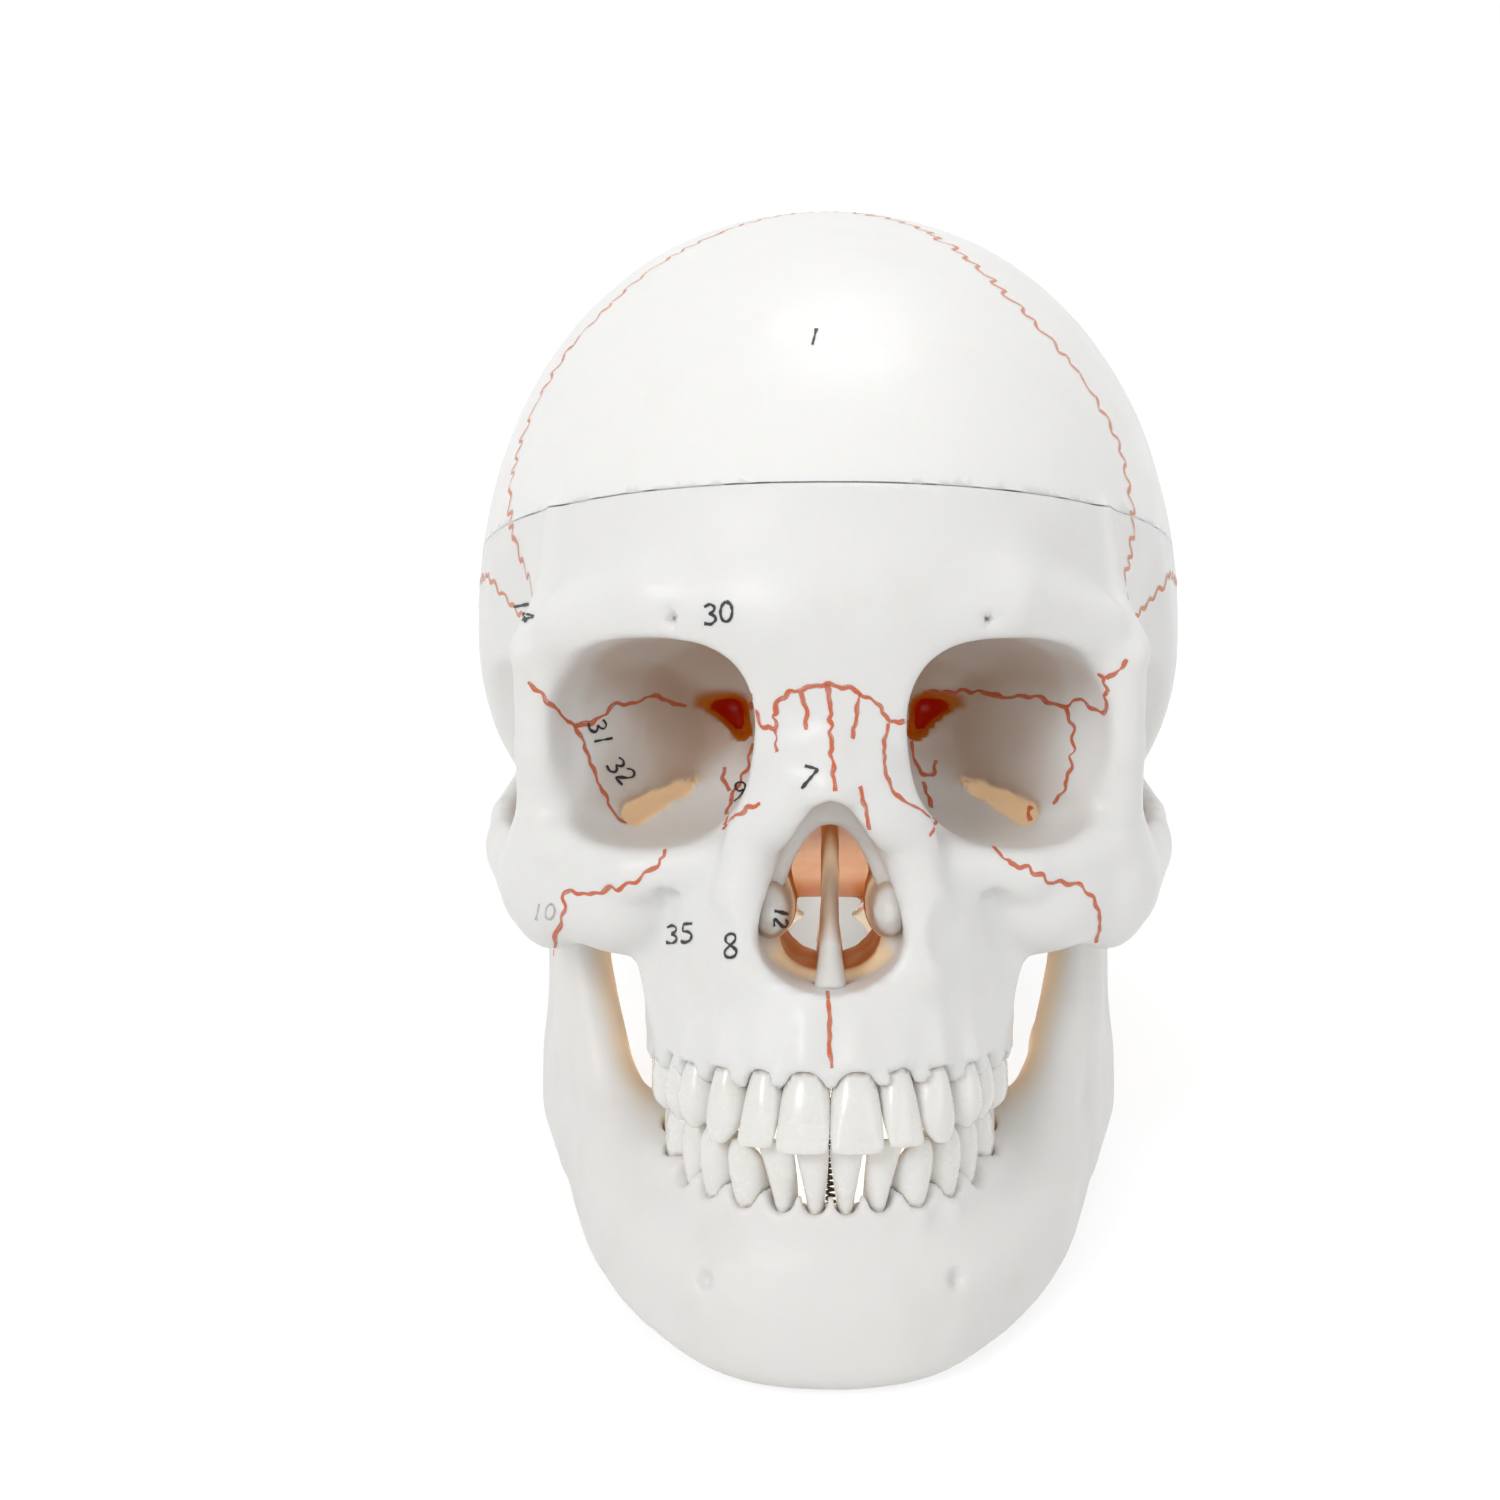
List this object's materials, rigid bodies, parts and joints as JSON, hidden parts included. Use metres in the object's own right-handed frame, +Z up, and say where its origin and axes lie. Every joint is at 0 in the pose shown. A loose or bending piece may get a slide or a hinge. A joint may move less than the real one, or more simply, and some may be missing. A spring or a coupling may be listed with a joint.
{
  "type": "anatomical skull model",
  "caption": "Life-size anatomical human skull for teaching, with a lift-off skullcap, a hinged lower jaw held shut by a coil spring, single teeth, open eye sockets and nose.",
  "frame": {"origin": "on the ground under the middle of the model's bounding box, where it rests on the jaw and the back of the head", "axes": "+Z up, face towards -Y, the skull's own left towards +X"},
  "size_m": [0.1326, 0.212, 0.1633],
  "materials": {
    "bone": "off-white moulded PVC with a soft sheen",
    "cap_bone": "off-white moulded PVC, slightly creamier",
    "jaw_bone": "off-white moulded PVC, slightly warmer",
    "enamel": "white glossy tooth plastic",
    "inner_bone": "grey-brown matt plastic",
    "steel": "plain steel",
    "spring_steel": "dark oiled spring wire"
  },
  "bodies": {
    "skull_base": {"skull_base": "bone", "upper_central_incisor_left": "enamel", "upper_central_incisor_right": "enamel", "upper_side_incisor_left": "enamel", "upper_side_incisor_right": "enamel", "upper_canine_left": "enamel", "upper_canine_right": "enamel", "upper_first_premolar_left": "enamel", "upper_first_premolar_right": "enamel", "upper_second_premolar_left": "enamel", "upper_second_premolar_right": "enamel", "upper_first_molar_left": "enamel", "upper_first_molar_right": "enamel", "upper_second_molar_left": "enamel", "upper_second_molar_right": "enamel", "upper_third_molar_left": "enamel", "upper_third_molar_right": "enamel", "nasal_septum": "inner_bone", "concha_left": "inner_bone", "concha_right": "inner_bone", "rim_pin_front": "steel", "rim_pin_left": "steel", "rim_pin_right": "steel", "spring_stud_upper": "steel", "jaw_spring": "spring_steel"},
    "calvaria": {"calvaria": "cap_bone"},
    "mandible": {"mandible": "jaw_bone", "lower_central_incisor_left": "enamel", "lower_central_incisor_right": "enamel", "lower_side_incisor_left": "enamel", "lower_side_incisor_right": "enamel", "lower_canine_left": "enamel", "lower_canine_right": "enamel", "lower_first_premolar_left": "enamel", "lower_first_premolar_right": "enamel", "lower_second_premolar_left": "enamel", "lower_second_premolar_right": "enamel", "lower_first_molar_left": "enamel", "lower_first_molar_right": "enamel", "lower_second_molar_left": "enamel", "lower_second_molar_right": "enamel", "lower_third_molar_left": "enamel", "lower_third_molar_right": "enamel", "spring_stud_lower": "steel"}
  },
  "joints": [
    {"name": "calvaria_lift", "type": "slide", "parent": "skull_base", "child": "calvaria", "axis": [0, 0.4525, 0.8917], "range_m": [0, 0.06]},
    {"name": "jaw_hinge", "type": "hinge", "parent": "skull_base", "child": "mandible", "pos_m": [0, -0.00104, 0.05561], "axis": [1, 0, 0], "range_deg": [0, 20], "stiffness_Nm_per_rad": 0.15, "springref_deg": -28.65, "deforming": ["jaw_spring"]}
  ]
}
